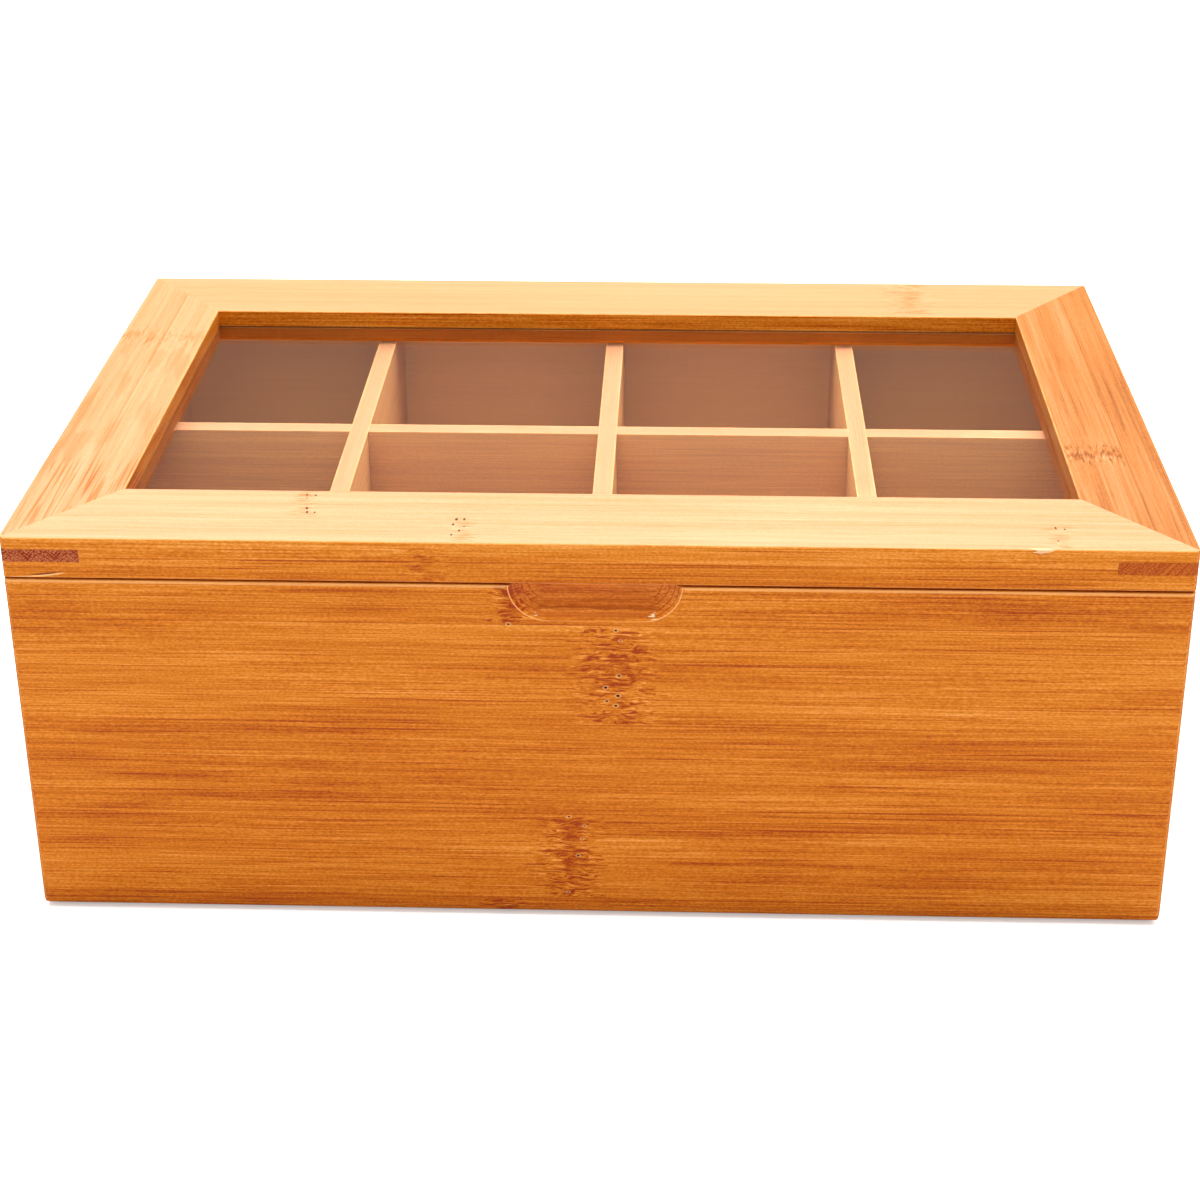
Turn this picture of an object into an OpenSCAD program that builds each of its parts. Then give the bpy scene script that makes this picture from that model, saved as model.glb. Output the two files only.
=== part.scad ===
/* [Overall] */
// Width of the closed box, left to right
box_w = 314; // [260:1:380]
// Depth of the closed box, front to back
box_d = 195; // [160:1:240]
// Height of the closed box, table to top of lid
box_h = 117.5; // [80:0.5:150]
// Radius of the upright outer corners
corner_r = 2; // [1:0.25:4]
// Radius that eases the edges beside the seam and round the lid's upper face
edge_ease = 0.6; // [0.3:0.1:1.2]

/* [Body] */
// Thickness of the four side boards
wall_t = 10; // [8.5:0.5:14]
// Radius of the long bottom edges
bottom_edge_r = 4; // [1:0.25:5]
// Thickness of the bottom panel
floor_t = 5; // [3:0.5:8]
// Height of the bottom panel above the table
floor_rise = 4; // [3:0.5:8]
// Depth of the groove that holds the bottom panel
floor_groove_d = 5; // [3:0.25:6]
// Gap left round a glued or let-in piece
glue_gap = 0.05; // [0.03:0.01:0.15]
// Gap between body and closed lid
seam_gap = 0.5; // [0.4:0.1:1.5]

/* [Dividers] */
// Thickness of the dividers
divider_t = 5.5; // [4:0.5:9]
// Depth of the upright grooves that hold the divider ends
dado_d = 2.5; // [1.5:0.25:3]
// How far the divider tops lie below the rim of the body
divider_drop = 0.2; // [0.1:0.1:12]

/* [Finger scoop] */
// Width of the scoop at the rim
scoop_w = 46.5; // [30:0.5:70]
// Height of the scoop below the rim
scoop_h = 10.7; // [8:0.1:14]
// Depth of the scoop at the rim
scoop_depth = 3.9; // [2.5:0.1:5]

/* [Lid] */
// Thickness of the lid frame
lid_t = 12; // [11:0.5:16]
// Width of the front and back rails
long_rail_w = 30.3; // [25:0.1:36]
// Width of the two side rails
side_rail_w = 26.9; // [25:0.1:36]
// Thickness of the window pane
pane_t = 2; // [1.5:0.25:3]
// Depth of the pane's upper face below the top of the lid
pane_sink = 5.4; // [4.5:0.1:6]
// Depth of the groove that holds the pane
pane_groove_d = 5; // [3:0.25:6]
// Gap between the pane's edge and the end of its groove
pane_edge_gap = 0.4; // [0.2:0.1:1]
// Width of the chamfer on the lower inner edges of the rails
lip_chamfer = 1.2; // [0.4:0.1:1.5]

/* [Corner splines] */
// Length of the two short sides of each triangular spline
spline_leg = 21; // [14:0.5:24]
// Thickness of the splines
spline_t = 3.6; // [2:0.1:4]
// Depth of the splines' upper face below the top of the lid
spline_sink = 3.6; // [3:0.1:4.5]

/* [Hinges] */
// Angle between closed lid and fully open lid
open_angle = 100; // [92:1:110]
// Length of each hinge
hinge_len = 30; // [24:1:44]
// Number of knuckles on each hinge
knuckle_count = 5; // [3:2:7]
// Outer radius of the knuckles
knuckle_r = 2.25; // [2:0.05:2.5]
// Radius of the hinge pin
pin_r = 1; // [0.8:0.05:1.1]
// Radial gap between pin and knuckle bore
pin_gap = 0.06; // [0.04:0.01:0.09]
// Gap between neighbouring knuckles
knuckle_gap = 0.3; // [0.2:0.05:0.5]
// Gap between a knuckle and the wood or leaf beside it
knuckle_relief = 0.35; // [0.3:0.05:0.5]
// Thickness of the hinge leaves
leaf_t = 1; // [0.8:0.1:1.3]
// Reach of each leaf from the pin's axis
leaf_reach = 7.2; // [6.8:0.1:7.4]
// Gap between the two bevelled edges when the lid is fully open
bevel_gap = 0.3; // [0.3:0.05:0.6]

/* [Screws] */
// Radius of the screw shanks
screw_r = 0.95; // [0.7:0.05:1.05]
// Radius of the countersunk screw heads
screw_head_r = 1.75; // [1.5:0.05:1.9]
// Length of the screws
screw_len = 7.5; // [5:0.5:8]
// Distance between the two screws of a leaf
screw_pitch = 18; // [12:0.5:19]
// Depth of the cross recess in the screw heads
recess_depth = 0.5; // [0.3:0.05:0.6]

/* [Hidden] */
$fn = 64;
cut = 1;                        // how far a cutter runs past the face it opens

// Heights
body_h = box_h - lid_t - seam_gap;
lid_z = box_h - lid_t;
floor_top = floor_rise + floor_t;
divider_top = body_h - divider_drop;
lap_z = (floor_top + divider_top) / 2;
pane_z = box_h - pane_sink - pane_t;
spline_z = box_h - spline_sink - spline_t;

// Compartments: four columns and two rows between equal dividers
inner_w = box_w - 2 * wall_t;
inner_d = box_d - 2 * wall_t;
column_pitch = (inner_w + divider_t) / 4;

// Scoop: a round bar with ball ends, sunk into the face by scoop_depth
scoop_r = (scoop_depth * scoop_depth + scoop_h * scoop_h) / (2 * scoop_depth);
scoop_axis_out = scoop_r - scoop_depth;
scoop_straight = scoop_w - 2 * scoop_h;

// Hinge line, level with the middle of the seam, barrels flush with the back
pin_y = box_d / 2 - knuckle_r;
pin_z = body_h + seam_gap / 2;
hinge_x = 1.5 * column_pitch;
bore_r = pin_r + pin_gap;
relief_r = knuckle_r + knuckle_relief;
knuckle_step = hinge_len / knuckle_count;
bevel_angle = open_angle / 2;
screw_y = -(relief_r + leaf_reach) / 2;
head_h = screw_head_r - screw_r;

bamboo = [0.87, 0.58, 0.27];
pale_bamboo = [0.96, 0.78, 0.48];
end_grain = [0.55, 0.27, 0.12];
brass = [0.80, 0.62, 0.28];
acrylic = [0.80, 0.86, 0.90, 0.35];

// ---- outlines ----

// Rectangle with rounded corners, centred on the origin
module rounded_rect(w, d, r) {
    square([w - 2 * r, d], center = true);
    square([w, d - 2 * r], center = true);
    for (x = [-1, 1], y = [-1, 1])
        translate([x * (w / 2 - r), y * (d / 2 - r)]) circle(r);
}

// Plan of one mitred member: outer face on the X axis, inner face at y = width.
// The members that it meets are next_width wide.
module mitred_plan(len, across, width, next_width) {
    inner = len / 2 - next_width;
    intersection() {
        polygon([[-len / 2, 0], [len / 2, 0], [inner, width], [-inner, width]]);
        translate([0, across / 2]) rounded_rect(len, across, corner_r);
    }
}

// Cross-section with its outer face on the Y axis and its two outer corners rounded
module eased_section(width, height, low_r, high_r) {
    translate([0, low_r]) square([width, height - low_r - high_r]);
    translate([low_r, 0]) square([width - low_r, height / 2]);
    translate([high_r, height / 2]) square([width - high_r, height / 2]);
    translate([low_r, low_r]) circle(low_r);
    translate([high_r, height - high_r]) circle(high_r);
}

// Cross-section of a body board
module board_section() {
    eased_section(wall_t, body_h, bottom_edge_r, edge_ease);
}

// Cross-section of a lid rail with its groove for the pane
module rail_section(width) {
    difference() {
        intersection() {
            eased_section(width, lid_t, edge_ease, edge_ease);
            translate([width, 0]) mirror([1, 0]) eased_section(width, lid_t, edge_ease, edge_ease);
        }
        translate([width - pane_groove_d, pane_z - lid_z])
            square([pane_groove_d + cut, pane_t + glue_gap]);
        polygon([[width - lip_chamfer, 0], [width + cut, lip_chamfer + cut],
            [width + cut, -cut], [width - lip_chamfer - cut, -cut]]);
    }
}

// ---- shared building moves ----

// Draws a section along X, from its own Y and Z
module along_x(len) {
    rotate([90, 0, 90]) linear_extrude(len, center = true) children();
}

// Mitred member: a section run along X and cut to the mitred plan
module mitred_member(len, across, width, next_width, height) {
    intersection() {
        linear_extrude(height) mitred_plan(len, across, width, next_width);
        along_x(len) children();
    }
}

// Places a member drawn for the front on side 0 front, 1 right, 2 back, 3 left
module on_side(side) {
    reach = side % 2 == 0 ? box_d / 2 : box_w / 2;
    rotate(90 * side) translate([0, -reach, 0]) children();
}

module body_board(side) {
    len = side % 2 == 0 ? box_w : box_d;
    across = side % 2 == 0 ? box_d : box_w;
    on_side(side) mitred_member(len, across, wall_t, wall_t, body_h) board_section();
}

module lid_rail(side) {
    len = side % 2 == 0 ? box_w : box_d;
    across = side % 2 == 0 ? box_d : box_w;
    width = side % 2 == 0 ? long_rail_w : side_rail_w;
    next_width = side % 2 == 0 ? side_rail_w : long_rail_w;
    difference() {
        translate([0, 0, lid_z]) on_side(side)
            mitred_member(len, across, width, next_width, lid_t) rail_section(width);
        for (x = [-1, 1], y = [-1, 1]) spline_slot(x, y);
    }
}

// Moves to the pin's axis of the left (-1) or right (1) hinge
module at_hinge(side) {
    translate([side * hinge_x, pin_y, pin_z]) children();
}

// ---- cuts in the body ----

// Groove for the bottom panel, cut into all four boards
module floor_groove() {
    translate([0, 0, floor_rise]) linear_extrude(floor_t + glue_gap)
        square([inner_w + 2 * floor_groove_d, inner_d + 2 * floor_groove_d], center = true);
}

// Upright grooves for the divider ends, open at the rim
module divider_dados() {
    wide = divider_t + 2 * glue_gap;
    translate([0, 0, floor_top]) linear_extrude(body_h - floor_top + cut) {
        square([inner_w + 2 * dado_d, wide], center = true);
        for (i = [-1:1]) translate([i * column_pitch, 0])
            square([wide, inner_d + 2 * dado_d], center = true);
    }
}

// Cove for a fingertip in the middle of the front edge
module finger_scoop() {
    translate([0, -box_d / 2 - scoop_axis_out, body_h]) {
        rotate([0, 90, 0]) cylinder(r = scoop_r, h = scoop_straight, center = true, $fn = 96);
        for (x = [-1, 1]) translate([x * scoop_straight / 2, 0, 0]) sphere(scoop_r, $fn = 96);
    }
}

// Bevel along the back edge of the body; the lid's is its mirror image
module body_bevel() {
    translate([0, pin_y, pin_z]) rotate([-bevel_angle, 0, 0])
        translate([-box_w / 2 - cut, -bevel_gap / 2, -bevel_gap / 2])
            cube([box_w + 2 * cut, box_h, box_h]);
}

// Room for a hinge's barrel, one leaf and its screws, in the body's wood
module hinge_seat() {
    rotate([0, 90, 0]) cylinder(r = relief_r, h = hinge_len + 2 * knuckle_gap, center = true);
    translate([-hinge_len / 2 - glue_gap, -leaf_reach - glue_gap, -seam_gap / 2 - leaf_t])
        cube([hinge_len + 2 * glue_gap, leaf_reach, leaf_t + seam_gap]);
    for (x = [-1, 1]) translate([x * screw_pitch / 2, screw_y, -seam_gap / 2 - screw_len - glue_gap])
        cylinder(r = screw_r + glue_gap, h = screw_len);
}

module body_hinge_cuts() {
    body_bevel();
    for (side = [-1, 1]) at_hinge(side) hinge_seat();
}

// ---- body ----

module front_panel() {
    color(bamboo) difference() {
        body_board(0);
        floor_groove();
        divider_dados();
        finger_scoop();
    }
}

module back_panel() {
    color(bamboo) difference() {
        body_board(2);
        floor_groove();
        divider_dados();
        body_hinge_cuts();
    }
}

module side_panel(side) {
    color(bamboo) difference() {
        body_board(side);
        floor_groove();
        divider_dados();
        body_bevel();
    }
}

module left_panel() { side_panel(3); }
module right_panel() { side_panel(1); }

module bottom_panel() {
    reach = 2 * (floor_groove_d - glue_gap);
    color(pale_bamboo) translate([0, 0, floor_rise]) linear_extrude(floor_t)
        square([inner_w + reach, inner_d + reach], center = true);
}

// Divider along X with three slots from above, half its height
module long_divider() {
    len = inner_w + 2 * (dado_d - glue_gap);
    slot = divider_t + 2 * glue_gap;
    color(pale_bamboo) difference() {
        translate([-len / 2, -divider_t / 2, floor_top])
            cube([len, divider_t, divider_top - floor_top]);
        for (i = [-1:1]) translate([i * column_pitch - slot / 2, -divider_t, lap_z])
            cube([slot, 2 * divider_t, divider_top]);
    }
}

// Divider along Y with one slot from below, which locks into the long divider
module cross_divider(i) {
    len = inner_d + 2 * (dado_d - glue_gap);
    slot = divider_t + 2 * glue_gap;
    color(pale_bamboo) difference() {
        translate([i * column_pitch - divider_t / 2, -len / 2, floor_top])
            cube([divider_t, len, divider_top - floor_top]);
        translate([i * column_pitch - divider_t, -slot / 2, floor_top - cut])
            cube([2 * divider_t, slot, lap_z - floor_top + cut]);
    }
}

module cross_divider_left() { cross_divider(-1); }
module cross_divider_center() { cross_divider(0); }
module cross_divider_right() { cross_divider(1); }

// ---- hinges ----

// Body leaf about the pin's axis; own is 0 for the outer knuckles, 1 for the others
module hinge_leaf(own) {
    face = -seam_gap / 2;
    color(brass) difference() {
        union() {
            translate([-hinge_len / 2, -leaf_reach, face - leaf_t])
                cube([hinge_len, leaf_reach - relief_r, leaf_t]);
            for (k = [own:2:knuckle_count - 1])
                translate([k * knuckle_step - hinge_len / 2 + knuckle_gap / 2, 0, 0]) {
                    rotate([0, 90, 0]) cylinder(r = knuckle_r, h = knuckle_step - knuckle_gap);
                    translate([0, -relief_r - leaf_t / 2, face - leaf_t])
                        cube([knuckle_step - knuckle_gap, relief_r + leaf_t / 2 - bore_r, leaf_t]);
                }
        }
        rotate([0, 90, 0]) cylinder(r = bore_r, h = hinge_len + 2 * cut, center = true);
        for (x = [-1, 1]) translate([x * screw_pitch / 2, screw_y, face]) countersink();
    }
}

// Screw hole through a leaf, with room for the head
module countersink() {
    translate([0, 0, -leaf_t - cut]) cylinder(r = screw_r + glue_gap, h = leaf_t + cut);
    translate([0, 0, -head_h])
        cylinder(r1 = screw_r + glue_gap, r2 = screw_head_r + glue_gap, h = head_h);
    cylinder(r = screw_head_r + glue_gap, h = cut);
}

module hinge_pin() {
    color(brass) rotate([0, 90, 0])
        cylinder(r = pin_r, h = hinge_len - knuckle_gap, center = true);
}

// Countersunk screw, its head's face at z = 0 and its point downwards
module screw() {
    point = 2 * screw_r;
    difference() {
        rotate_extrude() polygon([[0, 0], [screw_head_r, 0], [screw_r, -head_h],
            [screw_r, point - screw_len], [0, -screw_len]]);
        for (a = [0, 90]) rotate(a) translate([-0.7 * screw_head_r, -recess_depth / 2, -recess_depth])
            cube([1.4 * screw_head_r, recess_depth, recess_depth + cut]);
    }
}

// The four screws that hold the body leaves, two to a leaf
module leaf_screws() {
    color(brass) for (side = [-1, 1], x = [-1, 1]) at_hinge(side)
        translate([x * screw_pitch / 2, screw_y, -seam_gap / 2]) screw();
}

// Turns a piece of the body's half of the hinges into the lid's half
module lid_half() {
    translate([0, 0, 2 * pin_z]) mirror([0, 0, 1]) children();
}

module left_hinge_body_leaf() { at_hinge(-1) hinge_leaf(0); }
module right_hinge_body_leaf() { at_hinge(1) hinge_leaf(0); }
module left_hinge_pin() { at_hinge(-1) hinge_pin(); }
module right_hinge_pin() { at_hinge(1) hinge_pin(); }
module body_hinge_screws() { leaf_screws(); }
module left_hinge_lid_leaf() { lid_half() at_hinge(-1) hinge_leaf(1); }
module right_hinge_lid_leaf() { lid_half() at_hinge(1) hinge_leaf(1); }
module lid_hinge_screws() { lid_half() leaf_screws(); }

// ---- lid ----

// Plan of a corner triangle: right angle at the lid's corner (x, y)
module corner_triangle(x, y, leg) {
    translate([x * box_w / 2, y * box_d / 2])
        polygon([[0, 0], [-x * leg, 0], [0, -y * leg]]);
}

module spline_slot(x, y) {
    translate([0, 0, spline_z]) linear_extrude(spline_t + glue_gap)
        corner_triangle(x, y, spline_leg + 2 * glue_gap);
}

module corner_spline(x, y) {
    color(end_grain) translate([0, 0, spline_z]) linear_extrude(spline_t) intersection() {
        corner_triangle(x, y, spline_leg);
        rounded_rect(box_w, box_d, corner_r);
    }
}

module front_left_spline() { corner_spline(-1, -1); }
module front_right_spline() { corner_spline(1, -1); }
module back_left_spline() { corner_spline(-1, 1); }
module back_right_spline() { corner_spline(1, 1); }

module lid_front_rail() {
    color(pale_bamboo) lid_rail(0);
}

module lid_back_rail() {
    color(pale_bamboo) difference() {
        lid_rail(2);
        lid_half() body_hinge_cuts();
    }
}

module lid_side_rail(side) {
    color(bamboo) difference() {
        lid_rail(side);
        lid_half() body_bevel();
    }
}

module lid_left_rail() { lid_side_rail(3); }
module lid_right_rail() { lid_side_rail(1); }

module window_pane() {
    reach = 2 * (pane_groove_d - pane_edge_gap);
    color(acrylic) translate([0, 0, pane_z]) linear_extrude(pane_t)
        square([box_w - 2 * side_rail_w + reach, box_d - 2 * long_rail_w + reach], center = true);
}

front_panel();
back_panel();
left_panel();
right_panel();
bottom_panel();
long_divider();
cross_divider_left();
cross_divider_center();
cross_divider_right();
left_hinge_body_leaf();
right_hinge_body_leaf();
left_hinge_pin();
right_hinge_pin();
body_hinge_screws();
lid_front_rail();
lid_back_rail();
lid_left_rail();
lid_right_rail();
front_left_spline();
front_right_spline();
back_left_spline();
back_right_spline();
window_pane();
left_hinge_lid_leaf();
right_hinge_lid_leaf();
lid_hinge_screws();
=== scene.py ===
"""The looks of the tea bag organizer box: lacquered bamboo, brass hinges and a clear window."""

import math

import bpy
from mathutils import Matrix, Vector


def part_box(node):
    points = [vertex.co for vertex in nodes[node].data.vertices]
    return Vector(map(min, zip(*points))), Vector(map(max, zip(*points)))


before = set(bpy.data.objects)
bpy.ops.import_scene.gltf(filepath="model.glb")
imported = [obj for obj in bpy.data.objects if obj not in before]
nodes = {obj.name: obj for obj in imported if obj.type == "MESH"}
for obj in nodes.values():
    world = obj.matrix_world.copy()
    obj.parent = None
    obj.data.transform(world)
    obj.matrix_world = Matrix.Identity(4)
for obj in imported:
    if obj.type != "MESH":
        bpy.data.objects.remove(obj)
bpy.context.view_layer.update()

# Camera, from the pinhole fit to the photograph: focal length and picture centre are in its pixels
PHOTO_SIDE = 1200
FOCAL_LENGTH = 2278.88
PICTURE_CENTRE = (610, 424.6)
CAMERA_PLACE = (0.023210, -0.625718, 0.388007)
CAMERA_TURN = (1.150238, 0.004237, 0.034071)
SENSOR_WIDTH = 36.0

# Light: radiances for white = 1, places and sizes in metres
BACKGROUND = (1.0, 1.0, 1.0)
ROOM_LIGHT = (0.33, 0.335, 0.32)
ROOM_IN_GLOSS = (0.22, 0.22, 0.20)
FLOOR_COLOUR = (0.84, 0.84, 0.84)
FLOOR_IN_GLOSS = (0.05, 0.05, 0.05)
FLOOR_GLOW = 0.36
FAR_FLOOR_GLOW = 0.78
FLOOR_GLOW_RISE = (900.0, 3200.0)  # distances from the box in millimetres
FLOOR_SIDE = 8.0
SOFTBOXES = {
    # name: place, point that it faces, width, depth, power in watts
    "back_softbox": ((0.05, 0.70, 1.05), (0.0, 0.0, 0.10), 1.7, 1.0, 24.0),
    "overhead_softbox": ((0.0, 0.0, 1.35), (0.0, 0.0, 0.10), 1.6, 0.9, 30.0),
    "front_softbox": ((0.0, -1.0, 1.35), (0.0, 0.0, 0.10), 1.7, 0.9, 3.5),
    "left_softbox": ((-1.8, -0.3, 0.9), (0.0, 0.0, 0.06), 1.2, 1.2, 4.0),
    "right_softbox": ((1.8, -0.3, 0.9), (0.0, 0.0, 0.06), 1.2, 1.2, 4.0),
}

# Bamboo colours from dark to pale, linear
SIDE_TONES = {
    0.00: (0.350, 0.038, 0.0005),
    0.20: (0.480, 0.096, 0.0006),
    0.45: (0.618, 0.166, 0.003),
    0.70: (0.730, 0.242, 0.022),
    1.00: (0.850, 0.365, 0.085),
}
# Tones of the upper faces, from dark to pale, linear: paler than the sides, a painted sheen for the light
# from above
PAINTED_SHEEN_TONES = {
    0.00: (0.200, 0.052, 0.001),
    0.17: (0.280, 0.080, 0.005),
    0.34: (0.380, 0.121, 0.019),
    0.60: (0.460, 0.182, 0.063),
    0.85: (0.540, 0.255, 0.118),
    1.00: (0.590, 0.300, 0.155),
}
MIDDLE_TONE = 0.48
PORE = (0.012, 0.004, 0.003)
UPPER_PORE = (0.060, 0.018, 0.004)
# Pale colour of worn edges, also used for painted highlights on the lip and the scoop's rim
WEAR_AND_HIGHLIGHT = (0.90, 0.46, 0.16)
# Painted warm bounce of light for the scoop's hollow
SCOOP_PAINTED_BOUNCE = (0.92, 0.20, 0.10)
# Pale colour of the flaked chip, also used for the scoop's two painted glints
PALE_SPOT_AND_GLINT = (0.93, 0.70, 0.42)
# Painted shade under the pane and over the window's rims, and the painted shadow above the sliver
PAINTED_SHADE = (0.19, 0.042, 0.010)
# Painted haze, paler and greyer, for the pane's reflection over the faces inside the compartments
PAINTED_HAZE = (0.67, 0.45, 0.220)
PAINTED_HAZE_SHARE = 0.5
SPLINE_COLOURS = {
    # name: dark, pale, length in millimetres between the turns of the rays
    "front_left_spline": ((0.23, 0.020, 0.001), (0.54, 0.145, 0.045), 3.6),
    "front_right_spline": ((0.36, 0.050, 0.001), (0.54, 0.125, 0.006), 40.0),
    "back_left_spline": ((0.24, 0.020, 0.001), (0.50, 0.120, 0.020), 3.6),
    "back_right_spline": ((0.28, 0.030, 0.001), (0.48, 0.110, 0.010), 20.0),
}

WOOD_SPECULAR = 0.15
ACRYLIC_IOR = 1.49
SQUARE_ON = 0.7  # least share of the normal along an axis for a face that looks along it

# Places and sizes on the box in millimetres: x to the right, y to the back, z up
PER_METRE = 1000.0
FRONT_FACE = -97.5
UPPER_FACE = (116.5, 118.0)
OPENING_HALF_WIDTH, OPENING_HALF_DEPTH = 130.1, 67.2
PANE_BOTTOM = 110.1
LIP_HEIGHT, SEAM_TOP = 104.5, 105.5
SCOOP_HALF, SCOOP_END, SCOOP_BOTTOM = 23.25, 10.0, 94.3
SCOOP_CONTOURS = ((0.8, 0.05), (1.5, 0.06), (2.3, 0.05), (3.0, 0.04))  # depth, half width
SCOOP_GROOVES = (
    # height, half width, strength
    (95.7, 0.55, 0.35),
    (97.6, 0.45, 0.55),
    (99.4, 0.20, 0.35),
    (101.6, 0.25, 0.35),
    (103.2, 0.20, 0.30),
)
# Painted glints of lacquer in the scoop's lower corners
SCOOP_GLINTS = ((-16.4, 96.2, 0.35), (15.4, 96.0, 0.45))  # x, z, radius
SLIVER_START, SLIVER_LENGTH, SLIVER_FOOT, SLIVER_RISE = -155.5, 16.0, 105.7, 1.5
CHIP_START, CHIP_END, CHIP_SLOPE = 111.0, 120.5, 5.5
CHIP_TOP, CHIP_DEPTH, CHIP_RAGGED = 117.6, 1.5, 2.4
FRONT_PORE_SHAPE, UPPER_PORE_SHAPE = (0.75, 1.0), (1.0, 0.5)


# ---------------------------------------------------------------- node trees


class Graph:
    """Adds nodes to one node tree. A value is a number, a tuple or the output socket of another node."""

    def __init__(self, tree):
        self.tree = tree

    def put(self, kind, values=(), **settings):
        node = self.tree.nodes.new("ShaderNode" + kind)
        for key, value in settings.items():
            setattr(node, key, value)
        pairs = values.items() if isinstance(values, dict) else enumerate(values)
        for key, value in pairs:
            self.feed(node.inputs[key], value)
        return node

    def feed(self, socket, value):
        if isinstance(value, bpy.types.NodeSocket):
            self.tree.links.new(value, socket)
        elif value is not None:
            socket.default_value = value

    def math(self, operation, *values, clamp=False):
        return self.put("Math", values, operation=operation, use_clamp=clamp).outputs[0]

    def vector(self, operation, *values):
        return self.put("VectorMath", values, operation=operation).outputs[0]

    def split(self, vector):
        return self.put("SeparateXYZ", [vector]).outputs

    def join(self, x, y, z):
        return self.put("CombineXYZ", [x, y, z]).outputs[0]

    def ease(self, value, low, high, to_low=0.0, to_high=1.0):
        """A smooth step from to_low, at or under low, to to_high, at or over high."""
        values = [value, low, high, to_low, to_high]
        return self.put("MapRange", values, interpolation_type="SMOOTHSTEP").outputs[0]

    def noise(self, place, cell, detail=1.0, roughness=0.5):
        """Noise about 0, with features of the size of cell in each direction."""
        scaled = self.vector("MULTIPLY", place, tuple(1 / side for side in cell))
        values = {"Vector": scaled, "Scale": 1.0, "Detail": detail, "Roughness": roughness}
        return self.math("SUBTRACT", self.put("TexNoise", values).outputs[0], 0.5)

    def total(self, *values):
        result = values[0]
        for value in values[1:]:
            result = self.math("ADD", result, value)
        return result

    def blend(self, share, first, second):
        values = {"Factor": share, "A": _rgba(first), "B": _rgba(second)}
        node = self.tree.nodes.new("ShaderNodeMix")
        node.data_type = "RGBA"
        for key, value in values.items():
            socket = next(s for s in node.inputs if s.name == key and s.enabled)
            self.feed(socket, value)
        return next(s for s in node.outputs if s.enabled)


def _rgba(colour):
    return (*colour, 1.0) if isinstance(colour, tuple) and len(colour) == 3 else colour


def make_group(name, inputs, outputs, build):
    """A node group; build(graph, input sockets) gives its output sockets in order."""
    tree = bpy.data.node_groups.new(name, "ShaderNodeTree")
    for socket, kind in inputs:
        tree.interface.new_socket(socket, in_out="INPUT", socket_type="NodeSocket" + kind)
    for socket in outputs:
        tree.interface.new_socket(socket, in_out="OUTPUT", socket_type="NodeSocketFloat")
    source = tree.nodes.new("NodeGroupInput")
    sink = tree.nodes.new("NodeGroupOutput")
    for socket, value in zip(sink.inputs, build(Graph(tree), source.outputs)):
        tree.links.new(value, socket)
    return tree


def use_group(graph, tree, values):
    node = graph.tree.nodes.new("ShaderNodeGroup")
    node.node_tree = tree
    for socket, value in zip(node.inputs, values):
        graph.feed(socket, value)
    return node.outputs


# ---------------------------------------------------------------- bamboo


def build_grain(g, inputs):
    """Fibres of one strip: its bands, its fine fibres and the short flecks between them.

    Place is in millimetres, x along the fibres. Swirl bends them. Each noise has the length and the two
    widths of what it draws, in millimetres, and then how much of it counts."""
    place, seed, swirl = inputs[0], inputs[1], inputs[2]
    own = g.join(g.math("MULTIPLY", seed, 173.0), g.math("MULTIPLY", seed, 61.0), 0.0)
    place = g.vector("ADD", place, own)
    wander = g.math("MULTIPLY", g.noise(place, (150.0, 14.0, 14.0)), 1.1)
    curl = g.math("MULTIPLY", g.noise(place, (5.0, 2.0, 2.0), 0.0), swirl)
    bend = g.math("MULTIPLY_ADD", curl, 2.6, wander)
    place = g.vector("ADD", place, g.join(0.0, bend, bend))
    broad = g.math("MULTIPLY", g.noise(place, (130.0, 9.0, 9.0)), 0.40)
    band = g.math("MULTIPLY", g.noise(place, (190.0, 2.3, 2.3)), 0.36)
    line = g.ease(g.noise(place, (90.0, 0.62, 0.62)), -0.17, 0.17, -0.08, 0.08)
    hair = g.math("MULTIPLY", g.noise(place, (24.0, 0.38, 0.38), 0.0), 0.60)
    grit = g.math("MULTIPLY", g.noise(place, (0.9, 0.45, 0.45), 0.0), 0.50)
    moved = g.vector("ADD", place, (31.0, 17.0, 5.0))
    streak = g.ease(g.noise(moved, (65.0, 0.44, 0.44)), 0.09, 0.17, 0.0, -0.27)
    fleck = g.noise(moved, (4.6, 0.62, 0.62), 0.0)
    return g.math("ADD", broad, band), g.total(line, hair, grit, streak), fleck


GRAIN = make_group(
    "bamboo_grain",
    [("Place", "Vector"), ("Seed", "Float"), ("Swirl", "Float")],
    ["Coarse", "Fine", "Fleck"],
    build_grain,
)


def strips(g, coordinate, cuts, tones):
    """Number and tone of the strip that a point is in, and how near it is to a glue line."""
    number, tone, glue = 0.0, tones[0], 0.0
    for index, cut in enumerate(cuts):
        above = g.math("GREATER_THAN", coordinate, cut)
        number = g.math("ADD", number, above)
        tone = g.math("MULTIPLY_ADD", above, tones[index + 1] - tones[index], tone)
        off = g.math("ABSOLUTE", g.math("SUBTRACT", coordinate, cut))
        glue = g.math("MAXIMUM", glue, g.ease(off, 0.05, 0.32, 1.0, 0.0))
    return number, tone, glue


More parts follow.
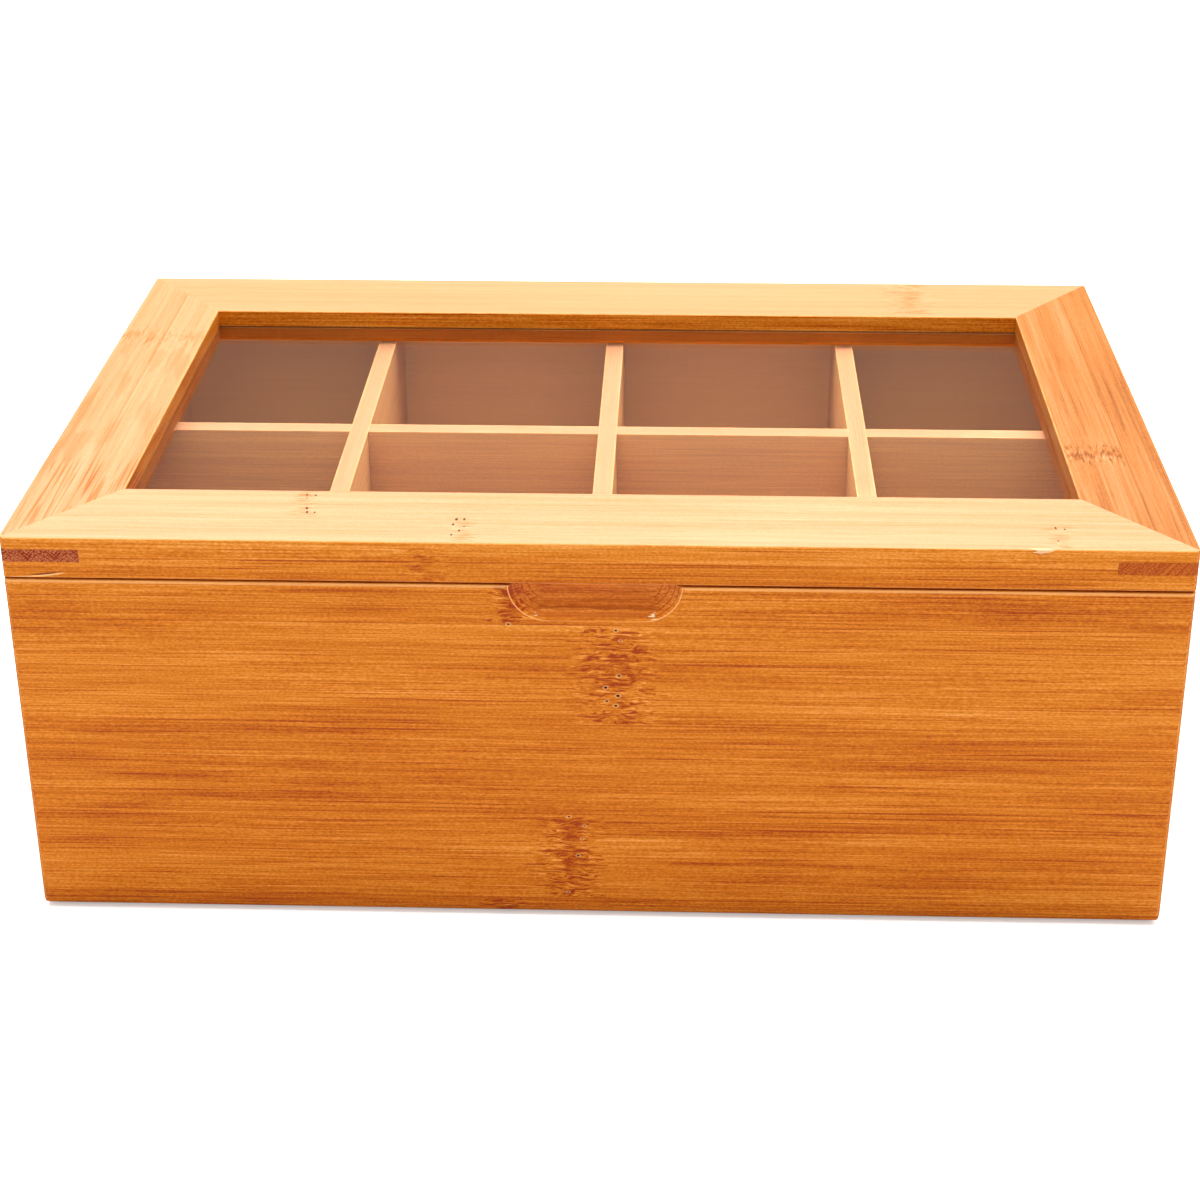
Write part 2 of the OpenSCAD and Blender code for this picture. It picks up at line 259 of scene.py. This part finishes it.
def node_marks(g, board, marks, strength, seed):
    """The bands that a stalk's nodes leave: (halo, change of tone).

    marks: middle and half width along the fibres, low and high across them and, where a band is only on one
    face, low and high along the third axis."""
    if not marks:
        return 0.0, 0.0
    x, y, z = g.split(board)
    line = g.join(seed * 9.1, y, z)
    comb = g.noise(line, (1.0, 0.8, 0.8), 1.0)
    drift = g.noise(line, (1.0, 7.0, 7.0))
    halo, core = 0.0, 0.0
    for middle, half_width, *windows in marks:
        centre = g.math("MULTIPLY_ADD", drift, half_width * 1.1, middle)
        away = g.math("ABSOLUTE", g.math("SUBTRACT", x, centre))
        reach = g.math("MULTIPLY_ADD", comb, -half_width * 1.8, away)
        window = 1.0
        for axis, low, high in zip((y, z), windows[0::2], windows[1::2]):
            window = g.math("MULTIPLY", window, g.ease(axis, low - 0.3, low + 0.6))
            window = g.math("MULTIPLY", window, g.ease(axis, high - 0.6, high + 0.3, 1.0, 0.0))
        here = g.math("MULTIPLY", window, g.ease(reach, half_width * 0.4, half_width * 1.7, 1.0, 0.0))
        halo = g.math("MAXIMUM", halo, here)
        inner = g.math("MULTIPLY", window, g.ease(reach, 0.0, half_width, 1.0, 0.0))
        core = g.math("MAXIMUM", core, inner)
    burn = g.ease(g.noise(board, (7.0, 3.0, 3.0)), -0.10, 0.12, -0.10 * strength, -0.40 * strength)
    return g.math("MULTIPLY", halo, strength), g.math("MULTIPLY", core, burn)


def pore_marks(g, x, y, pores, shape=FRONT_PORE_SHAPE):
    """Distance in millimetres to the nearest of the pores (place along and across the fibres, radius).

    Each is an ellipse, longer than its radius by 1 / shape."""
    here = g.join(g.math("MULTIPLY", x, shape[0]), g.math("MULTIPLY", y, shape[1]), 0.0)
    nearest = 100.0
    for along, across, radius in pores:
        middle = (along * shape[0], across * shape[1], 0.0)
        off = g.put("VectorMath", [here, middle], operation="DISTANCE").outputs["Value"]
        nearest = g.math("MINIMUM", nearest, g.math("SUBTRACT", off, radius))
    return nearest


def edge_distance(g, place, low, high):
    """Distance along the surface to the nearest edge of a board that fills the box low to high."""
    x, y, z = (
        g.math("MINIMUM", g.math("SUBTRACT", axis, a), g.math("SUBTRACT", b, axis))
        for axis, a, b in zip(g.split(place), low, high)
    )
    return g.math("MAXIMUM", g.math("MINIMUM", x, y), g.math("MINIMUM", g.math("MAXIMUM", x, y), z))


def new_graph(name):
    """A new material, its node tree emptied, and the object coordinates in millimetres."""
    material = bpy.data.materials.new(name)
    material.use_nodes = True
    material.node_tree.nodes.clear()
    g = Graph(material.node_tree)
    source = g.put("TexCoord").outputs
    place = g.vector("MULTIPLY", source["Object"], (PER_METRE, PER_METRE, PER_METRE))
    return material, g, place, source["Normal"]


def tone_ramp(g, tone, tones):
    """The colour of a tone from 0 to 1."""
    ramp = g.put("ValToRGB", [tone])
    stops = ramp.color_ramp.elements
    while len(stops) < len(tones):
        stops.new(0.5)
    for stop, (position, colour) in zip(stops, tones.items()):
        stop.position, stop.color = position, _rgba(colour)
    return ramp.outputs[0]


def bamboo_material(name, along="x", across="z", cuts=(), tones=(0.0,), layers=(), layer_tones=(0.0,),
                    marks=(), mark_strength=1.0, pores=(), upper_pores=(), lines=(), seed=0.0, upper=None,
                    painted_shade_half_width=None, rim_shade=0.0, hazed_faces=None, haze_share=PAINTED_HAZE_SHARE, detail=None):
    """Lacquered bamboo of one board.

    along, across: the axes of the fibres and of the row of strips.
    cuts, tones: the glue lines between the strips and each strip's tone.
    layers, layer_tones: the same along the third axis.
    marks, mark_strength: the bands of the stalk's nodes, as for node_marks.
    pores, upper_pores: black ones on the faces across the third axis, brown ones on the upper face.
    lines: patches of dark lines, each low and high along and across, then their length, width and darkness.
    upper: middle tone of the upper face's painted sheen, contrast of its bands and of its fibres.
    painted_shade_half_width, rim_shade: half width of the opening whose rim gets painted shade under the
    pane, and the painted shade over the pane.
    hazed_faces, haze_share: the axis that the faces inside the compartments look along, "+z" or "-z" for one
    face and "z" for both, and how much painted haze, paler and greyer, they get for the pane's reflection.
    detail: a function that adds to the colour."""
    material, g, place, normal = new_graph(name)
    axes = dict(zip("xyz", g.split(place)))
    faces = dict(zip("xyz", g.split(normal)))
    third = next(axis for axis in "xyz" if axis not in (along, across))
    board = g.join(axes[along], axes[across], axes[third])

    number, strip_tone, glue = strips(g, axes[across], cuts, tones)
    layer, layer_tone, layer_glue = strips(g, axes[third], layers, layer_tones)
    glue = g.math("MAXIMUM", glue, layer_glue)
    halo, burn = node_marks(g, board, marks, mark_strength, seed)
    strip_seed = g.total(seed, number, g.math("MULTIPLY", layer, 3.7))
    coarse, fine, fleck = use_group(g, GRAIN, [board, strip_seed, halo])

    dash = g.total(g.ease(fleck, 0.08, 0.18, 0.0, -0.52), g.ease(fleck, -0.24, -0.12, 0.38, 0.0))
    mark = g.math("MULTIPLY_ADD", dash, g.math("MULTIPLY_ADD", halo, 0.94, 0.06), burn)
    for low_along, high_along, low_across, high_across, length, width, depth in lines:
        patch = g.math("MULTIPLY", inside(g, axes[along], low_along, high_along, 14.0),
                       inside(g, axes[across], low_across, high_across))
        line = g.ease(g.noise(board, (length, width, width), 0.0), 0.03, 0.15, 0.0, -depth)
        mark = g.math("MULTIPLY_ADD", line, patch, mark)
    plain = g.total(coarse, strip_tone, layer_tone, g.math("MULTIPLY", glue, -0.20))
    tone = g.total(plain, fine, mark)
    low, high = ([value * PER_METRE for value in corner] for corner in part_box(name))
    colour = tone_ramp(g, g.math("ADD", tone, MIDDLE_TONE), SIDE_TONES)
    # Painted shade on the rims of the opening: darker under the pane, and by rim_shade over it
    if painted_shade_half_width:
        opening = g.ease(g.math("ABSOLUTE", axes[across]), painted_shade_half_width + 0.05, painted_shade_half_width + 0.2, 1.0, 0.0)
        shade = g.ease(axes["z"], PANE_BOTTOM - 0.3, PANE_BOTTOM + 0.3, 0.88, rim_shade)
        colour = g.blend(g.math("MULTIPLY", opening, shade), colour, PAINTED_SHADE)
    # Upper faces turn paler: a painted sheen for the light from above
    if upper:
        middle, of_bands, of_fibres = upper
        pale = g.math("MULTIPLY_ADD", plain, of_bands, g.math("MULTIPLY_ADD", fine, of_fibres, middle))
        pale = tone_ramp(g, g.math("ADD", pale, mark), PAINTED_SHEEN_TONES)
        colour = g.blend(g.ease(faces["z"], 0.4, 0.9), colour, pale)
    # Faces inside the compartments turn paler and greyer: a painted haze for the pane's reflection over them
    if hazed_faces:
        facing = g.math("MULTIPLY", faces[hazed_faces[-1]], -1.0) if hazed_faces[0] == "-" else faces[hazed_faces[-1]]
        facing = facing if hazed_faces[0] in "+-" else g.math("ABSOLUTE", facing)
        colour = g.blend(g.ease(facing, 0.3, 0.7, 0.0, haze_share), colour, PAINTED_HAZE)
    rim = g.ease(edge_distance(g, place, low, high), 0.1, 0.6, 1.0, 0.0)
    worn = g.math("MULTIPLY", rim, g.ease(fleck, -0.25, 0.15, 0.25, 0.60))
    colour = g.blend(worn, colour, WEAR_AND_HIGHLIGHT)
    if detail:
        colour = detail(g, axes, fleck, colour)
    if pores:
        off = pore_marks(g, axes[along], axes[across], pores)
        face = g.math("GREATER_THAN", g.math("ABSOLUTE", faces[third]), SQUARE_ON)
        rim = g.math("MULTIPLY", g.ease(off, 0.15, 0.55, 0.45, 0.0), face)
        colour = g.blend(rim, colour, WEAR_AND_HIGHLIGHT)
        colour = g.blend(g.math("MULTIPLY", g.ease(off, -0.05, 0.12, 1.0, 0.0), face), colour, PORE)
    if upper_pores:
        off = pore_marks(g, axes[along], axes[across], upper_pores, UPPER_PORE_SHAPE)
        face = g.math("GREATER_THAN", faces["z"], SQUARE_ON)
        spot = g.math("MULTIPLY", g.ease(off, -0.05, 0.15, 1.0, 0.0), face)
        colour = g.blend(spot, colour, UPPER_PORE)

    ridge = g.noise(board, (30.0, 0.7, 0.7))
    bump = g.put("Bump", {"Strength": 0.2, "Distance": 0.0002, "Height": ridge})
    rough = g.math("MULTIPLY_ADD", tone, -0.10, 0.40)
    shader = g.put("BsdfPrincipled", {"Base Color": colour, "Roughness": rough, "Normal": bump.outputs[0]})
    shader.inputs["Specular IOR Level"].default_value = WOOD_SPECULAR
    g.put("OutputMaterial", [shader.outputs[0]])
    return material


def inside(g, coordinate, low, high, soft=1.0):
    """One between low and high, with soft ends."""
    rise = g.ease(coordinate, low, low + soft)
    return g.math("MULTIPLY", rise, g.ease(coordinate, high - soft, high, 1.0, 0.0))


def near(g, coordinate, line, half_width):
    """One on a line, falling to zero at half_width and a little beyond."""
    off = g.math("ABSOLUTE", g.math("SUBTRACT", coordinate, line))
    return g.ease(off, half_width * 0.6, half_width * 1.6, 1.0, 0.0)


def scoop_colour(g, axes, fleck, colour):
    """The milled finger scoop and the painted highlight on the lip beside it.

    The scoop has a painted warm bounce of light over its hollow, a painted highlight along its rim, dark
    contour lines at its round ends, grooves along its floor and two painted glints of lacquer."""
    round_start = SCOOP_HALF - SCOOP_END
    depth = g.math("SUBTRACT", axes["y"], FRONT_FACE)
    across = g.math("ABSOLUTE", axes["x"])
    here = g.math("MULTIPLY", g.ease(across, SCOOP_HALF, SCOOP_HALF + 0.5, 1.0, 0.0),
                  g.ease(axes["z"], SCOOP_BOTTOM - 0.5, SCOOP_BOTTOM))
    # Painted warm bounce of light over the scoop's hollow
    painted_bounce_share = g.math("MULTIPLY", here, g.ease(depth, 0.1, 1.2))
    colour = g.blend(g.math("MULTIPLY", painted_bounce_share, 0.12), colour, SCOOP_PAINTED_BOUNCE)
    # Painted highlight along the lip just under the seam, which the lid shades
    lip_highlight = g.math("SUBTRACT", near(g, axes["z"], LIP_HEIGHT, 0.3), here, clamp=True)
    colour = g.blend(g.math("MULTIPLY", lip_highlight, 0.55), colour, WEAR_AND_HIGHLIGHT)
    ends = g.math("MULTIPLY", here, g.ease(across, round_start, round_start + 3.0))
    for line, width in SCOOP_CONTOURS:
        contour = near(g, g.math("MULTIPLY_ADD", fleck, 0.25, depth), line, width)
        share = g.math("MULTIPLY", contour, g.math("MULTIPLY", ends, 0.7))
        colour = g.blend(share, colour, SIDE_TONES[0.0])
    height = g.math("MULTIPLY_ADD", fleck, 1.2, axes["z"])
    middle = g.math("MULTIPLY", here, g.ease(across, round_start, round_start + 5.0, 1.0, 0.0))
    for line, width, strength in SCOOP_GROOVES:
        groove = g.math("MULTIPLY", near(g, height, line, width), g.math("MULTIPLY", middle, strength))
        colour = g.blend(groove, colour, SIDE_TONES[0.0])
    # Painted highlight along the scoop's rim, stronger towards its round ends
    rim_highlight_strength = g.ease(across, round_start - 2.0, round_start + 4.0, 0.25, 0.8)
    rim = g.math("MULTIPLY", g.ease(depth, 0.02, 0.10), g.ease(depth, 0.18, 0.36, 1.0, 0.0))
    colour = g.blend(g.math("MULTIPLY", g.math("MULTIPLY", rim, rim_highlight_strength), here), colour, WEAR_AND_HIGHLIGHT)
    # Two painted glints of lacquer at the scoop's lower corners
    off = pore_marks(g, axes["x"], axes["z"], SCOOP_GLINTS)
    glint_reach = g.math("MULTIPLY_ADD", fleck, 3.0, off)
    return g.blend(g.ease(glint_reach, -0.1, 0.15, 0.9, 0.0), colour, PALE_SPOT_AND_GLINT)


def rail_colour(g, axes, fleck, colour):
    """The front rail's flaws, a lifted sliver and a chip in the upper edge; painted shadow over the sliver
    and painted shade along the seam.
    """
    run = g.math("DIVIDE", g.math("SUBTRACT", axes["x"], SLIVER_START), SLIVER_LENGTH)
    curve = g.math("MULTIPLY_ADD", g.math("MULTIPLY", run, run), SLIVER_RISE, SLIVER_FOOT)
    over = g.math("SUBTRACT", axes["z"], curve)
    front = g.ease(axes["y"], FRONT_FACE + 0.1, FRONT_FACE + 0.6, 1.0, 0.0)
    # Painted shadow just above the lifted sliver
    shadow = g.math("MULTIPLY", near(g, over, 0.50, 0.22), inside(g, run, 0.30, 0.95, 0.25))
    colour = g.blend(g.math("MULTIPLY", shadow, front), colour, PAINTED_SHADE)
    edge = g.math("MULTIPLY", near(g, over, 0.05, 0.20), inside(g, run, 0.0, 1.0, 0.15))
    colour = g.blend(g.math("MULTIPLY", edge, front), colour, WEAR_AND_HIGHLIGHT)
    # Painted shade along the seam, on the rail's front face just above it
    seam_shade = g.math("MULTIPLY", g.ease(axes["z"], SEAM_TOP + 0.15, SEAM_TOP + 0.45, 0.6, 0.0), front)
    colour = g.blend(seam_shade, colour, SIDE_TONES[0.0])
    torn = g.math("MULTIPLY", inside(g, axes["x"], CHIP_START, CHIP_END, CHIP_SLOPE), front)
    below = g.total(CHIP_TOP, g.math("MULTIPLY", axes["z"], -1.0), g.math("MULTIPLY", torn, -CHIP_DEPTH),
                    g.math("MULTIPLY", fleck, CHIP_RAGGED))
    crack = g.math("MULTIPLY", near(g, below, 0.25, 0.18), torn)
    colour = g.blend(g.math("MULTIPLY", crack, 0.7), colour, SIDE_TONES[0.0])
    flake = g.math("MULTIPLY", g.ease(below, -0.15, 0.10, 1.0, 0.0), g.ease(torn, 0.05, 0.3))
    return g.blend(g.math("MULTIPLY", flake, 0.55), colour, PALE_SPOT_AND_GLINT)


def spline_material(name, dark, pale, pitch, seed):
    """End grain of a key: fine slanting rays that turn back every pitch, in chevrons where it is short."""
    material, g, place, _ = new_graph(name)
    x, y, z = g.split(place)
    along = g.math("ADD", x, y)
    fold = g.math("PINGPONG", g.math("ADD", along, seed * 3.0), pitch)
    ray = g.math("MULTIPLY_ADD", z, 0.9, fold)
    rays = g.noise(g.join(ray, g.math("MULTIPLY", fold, 0.08), seed), (0.34, 1.0, 1.0), 0.0)
    dots = g.noise(g.join(along, z, seed), (0.6, 0.5, 1.0), 1.0)
    share = g.ease(g.total(rays, g.math("MULTIPLY", dots, 1.1)), -0.16, 0.18)
    colour = g.blend(share, dark, pale)
    shader = g.put("BsdfPrincipled", {"Base Color": colour, "Roughness": 0.5})
    shader.inputs["Specular IOR Level"].default_value = WOOD_SPECULAR
    g.put("OutputMaterial", [shader.outputs[0]])
    return material


def brass_material(name):
    material, g, place, _ = new_graph(name)
    brushed = g.noise(place, (6.0, 0.25, 0.25), 1.0)
    stain = g.noise(place, (4.0, 4.0, 4.0), 2.0)
    colour = g.blend(g.ease(stain, -0.1, 0.25), (0.83, 0.60, 0.24), (0.62, 0.40, 0.15))
    rough = g.total(0.28, g.math("MULTIPLY", brushed, 0.25), g.math("MULTIPLY", stain, 0.2))
    bump = g.put("Bump", {"Strength": 0.15, "Distance": 0.0001, "Height": brushed})
    shader = g.put("BsdfPrincipled", {"Base Color": colour, "Roughness": rough, "Normal": bump.outputs[0]})
    shader.inputs["Metallic"].default_value = 1.0
    g.put("OutputMaterial", [shader.outputs[0]])
    return material


def acrylic_material(name):
    """Clear sheet that bends the view through it; lamps shine straight through it."""
    material, g, _, _ = new_graph(name)
    clear = {"Base Color": (1.0, 1.0, 1.0, 1.0), "Roughness": 0.0, "IOR": ACRYLIC_IOR}
    sheet = g.put("BsdfPrincipled", clear)
    sheet.inputs["Transmission Weight"].default_value = 1.0
    straight = g.put("BsdfTransparent")
    lamp = g.put("LightPath").outputs["Is Shadow Ray"]
    mixed = g.put("MixShader", [lamp, sheet.outputs[0], straight.outputs[0]])
    g.put("OutputMaterial", [mixed.outputs[0]])
    return material


# The arguments of bamboo_material for each board; seed sets its grain apart from the other boards'
BOARDS = {
    "front_panel": {
        "seed": 1.0,
        "cuts": (6.0, 34.0, 62.5, 93.3),
        "tones": (-0.10, 0.0, -0.05, 0.05, -0.02),
        "marks": (
            (-22.5, 4.5, 93.3, 106.0),
            (4.8, 9.0, 63.0, 93.0),
            (-7.5, 7.5, 6.5, 33.0),
            (-26.0, 4.5, 0.0, 5.5),
        ),
        "pores": (
            (5.5, 91.9, 0.24), (6.7, 88.8, 0.12), (6.3, 78.1, 0.26), (2.7, 74.4, 0.30), (6.0, 71.9, 0.34),
            (3.0, 70.2, 0.24), (5.4, 68.8, 0.28), (-23.0, 93.4, 0.24), (-7.6, 33.2, 0.22),
            (-3.4, 30.2, 0.16), (-5.2, 20.4, 0.24), (-8.1, 8.2, 0.18), (-4.0, 26.0, 0.12),
        ),
        "hazed_faces": "+y",
        "detail": scoop_colour,
    },
    "back_panel": {
        "seed": 12.0,
        "cuts": (18.0, 47.0, 76.0),
        "tones": (0.0, 0.05, -0.05, 0.03),
        "marks": ((60.0, 7.0, 18.5, 46.0), (-75.0, 6.0, 76.5, 106.0)),
        "pores": ((61.0, 31.0, 0.25), (63.0, 36.0, 0.2), (58.5, 25.0, 0.25)),
        "hazed_faces": "-y",
        "haze_share": 0.85,
    },
    "left_panel": {
        "seed": 23.0,
        "along": "y",
        "cuts": (24.0, 55.0, 83.0),
        "tones": (0.0, -0.05, 0.04, 0.0),
        "marks": ((20.0, 7.0, 24.5, 54.0),),
        "pores": ((22.0, 33.0, 0.25), (18.5, 41.0, 0.22), (21.0, 47.0, 0.25)),
        "hazed_faces": "+x",
    },
    "right_panel": {
        "seed": 34.0,
        "along": "y",
        "cuts": (12.0, 40.0, 69.0, 97.0),
        "tones": (0.0, 0.05, -0.04, 0.04, 0.0),
        "marks": ((-31.0, 7.0, 40.5, 68.0),),
        "pores": ((-30.0, 50.0, 0.25), (-33.0, 58.0, 0.25)),
        "hazed_faces": "-x",
    },
    "bottom_panel": {
        "seed": 45.0,
        "across": "y",
        "cuts": (-60.0, -30.0, 1.0, 30.0, 62.0),
        "tones": (0.0, 0.04, -0.04, 0.03, 0.0, -0.03),
        "hazed_faces": "+z",
    },
    "long_divider": {
        "seed": 56.0,
        "cuts": (32.0, 63.0),
        "tones": (0.0, 0.05, 0.0),
        "upper": (0.82, 0.34, 0.26),
        "hazed_faces": "y",
    },
    "lid_front_rail": {
        "seed": 82.0,
        "across": "y",
        "cuts": (-84.5,),
        "tones": (0.02, 0.0),
        "layers": (111.7,),
        "layer_tones": (0.0, 0.12),
        "marks": (
            (-79.0, 3.0, -84.0, -67.0, *UPPER_FACE),
            (-35.0, 3.0, -97.0, -82.0, *UPPER_FACE),
            (122.0, 3.4, -97.0, -84.0, *UPPER_FACE),
            (-44.0, 6.0, -98.0, -96.8, 104.0, 116.0),
        ),
        "mark_strength": 0.4,
        "upper_pores": (
            (-79.4, -70.1, 0.25), (-77.0, -70.3, 0.25), (-79.2, -72.0, 0.15), (-78.2, -78.3, 0.32),
            (-77.8, -80.7, 0.30), (-75.7, -80.8, 0.20), (-37.3, -84.0, 0.34), (-35.2, -83.9, 0.28),
            (-37.9, -87.0, 0.30), (-34.9, -88.1, 0.18), (-36.0, -90.6, 0.25), (-37.8, -93.1, 0.25),
            (121.1, -85.1, 0.25), (123.4, -85.8, 0.20), (120.7, -92.6, 0.18),
        ),
        "upper": (0.73, 0.8, 0.35),
        "painted_shade_half_width": OPENING_HALF_DEPTH,
        "detail": rail_colour,
    },
    "lid_back_rail": {
        "seed": 91.0,
        "across": "y",
        "cuts": (84.0,),
        "tones": (0.0, 0.03),
        "layers": (111.0,),
        "layer_tones": (0.0, 0.05),
        "marks": ((97.0, 6.0, 69.0, 98.0, *UPPER_FACE),),
        "mark_strength": 0.5,
        "upper": (0.73, 0.43, 0.13),
        "painted_shade_half_width": OPENING_HALF_DEPTH,
    },
    "lid_left_rail": {
        "seed": 97.0,
        "along": "y",
        "across": "x",
        "cuts": (-143.0,),
        "tones": (0.0, 0.03),
        "layers": (111.0,),
        "layer_tones": (0.0, 0.05),
        "marks": ((44.0, 6.0, -158.0, -129.0, *UPPER_FACE),),
        "mark_strength": 0.35,
        "lines": (
            (-112.0, -44.0, -160.0, -128.0, 30.0, 0.8, 0.33),
            (-75.0, 45.0, -160.0, -128.0, 22.0, 3.4, 0.11),
        ),
        "upper": (0.66, 0.85, 0.25),
        "painted_shade_half_width": OPENING_HALF_WIDTH,
        "rim_shade": 0.3,
    },
    "lid_right_rail": {
        "seed": 103.0,
        "along": "y",
        "across": "x",
        "cuts": (147.0,),
        "tones": (0.0, -0.05),
        "layers": (111.0,),
        "layer_tones": (0.0, 0.0),
        "marks": ((-38.0, 5.0, 129.0, 146.5, *UPPER_FACE),),
        "lines": ((-112.0, 40.0, 129.0, 160.0, 44.0, 0.9, 0.12),),
        "upper": (0.38, 1.1, 0.4),
        "painted_shade_half_width": OPENING_HALF_WIDTH,
        "rim_shade": 0.5,
    },
}
CROSS_DIVIDERS = {
    # name: seed, cuts, middle tone of the painted sheen on the upper face
    "cross_divider_left": (61.0, (40.0, 71.0), 0.75),
    "cross_divider_center": (67.0, (30.0, 58.0), 0.80),
    "cross_divider_right": (73.0, (45.0, 77.0), 0.78),
}
for name, (seed, cuts, middle) in CROSS_DIVIDERS.items():
    BOARDS[name] = {
        "seed": seed,
        "along": "y",
        "cuts": cuts,
        "tones": (0.06, 0.0, 0.06),
        "upper": (middle, 0.43, 0.26),
        "hazed_faces": "x",
    }


def dress(name, material):
    nodes[name].data.materials.clear()
    nodes[name].data.materials.append(material)


for name, settings in BOARDS.items():
    dress(name, bamboo_material(name, **settings))
for seed, (name, colouring) in enumerate(SPLINE_COLOURS.items(), start=2):
    dress(name, spline_material(name, *colouring, seed=float(seed)))
brass = brass_material("brass")
for name in nodes:
    if "hinge" in name:
        dress(name, brass)
dress("window_pane", acrylic_material("clear_acrylic"))


# ---------------------------------------------------------------- stage, light and camera


def seen_directly(g):
    """One for a view from the camera, also through the clear sheet, and zero for bounced light."""
    ray = g.put("LightPath").outputs
    return g.math("LESS_THAN", g.math("ADD", ray["Diffuse Depth"], ray["Glossy Depth"]), 0.5)


def mirrored(g):
    """One for a reflection, and zero for a view straight on or through the clear sheet."""
    ray = g.put("LightPath").outputs
    return g.math("MULTIPLY", ray["Is Glossy Ray"], g.math("GREATER_THAN", ray["Glossy Depth"], 0.5))


def make_floor():
    """Pale floor, dimmer in reflections, as the lacquer in the photograph mirrors no bright floor."""
    mesh = bpy.data.meshes.new("floor")
    half = FLOOR_SIDE / 2
    corners = [(-half, -half, 0), (half, -half, 0), (half, half, 0), (-half, half, 0)]
    mesh.from_pydata(corners, [], [(0, 1, 2, 3)])
    floor = bpy.data.objects.new("floor", mesh)
    bpy.context.scene.collection.objects.link(floor)
    material, g, place, _ = new_graph("floor")
    matte = g.put("BsdfDiffuse", [g.blend(mirrored(g), FLOOR_COLOUR, FLOOR_IN_GLOSS)])
    away = g.put("VectorMath", [place], operation="LENGTH").outputs["Value"]
    strength = g.ease(away, *FLOOR_GLOW_RISE, FLOOR_GLOW, FAR_FLOOR_GLOW)
    glow = g.put("Emission", [_rgba(BACKGROUND), g.math("MULTIPLY", seen_directly(g), strength)])
    both = g.put("AddShader", [matte.outputs[0], glow.outputs[0]])
    g.put("OutputMaterial", [both.outputs[0]])
    mesh.materials.append(material)


def make_room():
    world = bpy.data.worlds.new("room")
    bpy.context.scene.world = world
    world.use_nodes = True
    world.node_tree.nodes.clear()
    g = Graph(world.node_tree)
    room = g.blend(mirrored(g), ROOM_LIGHT, ROOM_IN_GLOSS)
    back = g.put("Background", [g.blend(seen_directly(g), room, BACKGROUND), 1.0])
    g.put("OutputWorld", [back.outputs[0]])


def make_softboxes():
    for name, (place, target, width, depth, power) in SOFTBOXES.items():
        lamp = bpy.data.lights.new(name, "AREA")
        lamp.shape, lamp.size, lamp.size_y, lamp.energy = "RECTANGLE", width, depth, power
        box = bpy.data.objects.new(name, lamp)
        box.location = place
        aim = [t - p for t, p in zip(target, place)]
        box.rotation_euler = (
            math.atan2(math.hypot(aim[0], aim[1]), -aim[2]),
            0.0,
            math.atan2(-aim[0], aim[1]) if aim[0] or aim[1] else 0.0,
        )
        # The one overhead would hide the compartments behind its image in the window, seen from above
        box.visible_glossy = name != "overhead_softbox"
        bpy.context.scene.collection.objects.link(box)


def make_camera():
    data = bpy.data.cameras.new("camera")
    data.sensor_fit = "HORIZONTAL"
    data.sensor_width = SENSOR_WIDTH
    data.lens = FOCAL_LENGTH / PHOTO_SIDE * SENSOR_WIDTH
    data.shift_x = (PHOTO_SIDE / 2 - PICTURE_CENTRE[0]) / PHOTO_SIDE
    data.shift_y = (PICTURE_CENTRE[1] - PHOTO_SIDE / 2) / PHOTO_SIDE
    data.clip_start, data.clip_end = 0.01, 50.0
    camera = bpy.data.objects.new("camera", data)
    camera.location = CAMERA_PLACE
    camera.rotation_euler = CAMERA_TURN
    bpy.context.scene.collection.objects.link(camera)
    bpy.context.scene.camera = camera


make_floor()
make_room()
make_softboxes()
make_camera()
bpy.context.scene.view_settings.view_transform = "Standard"
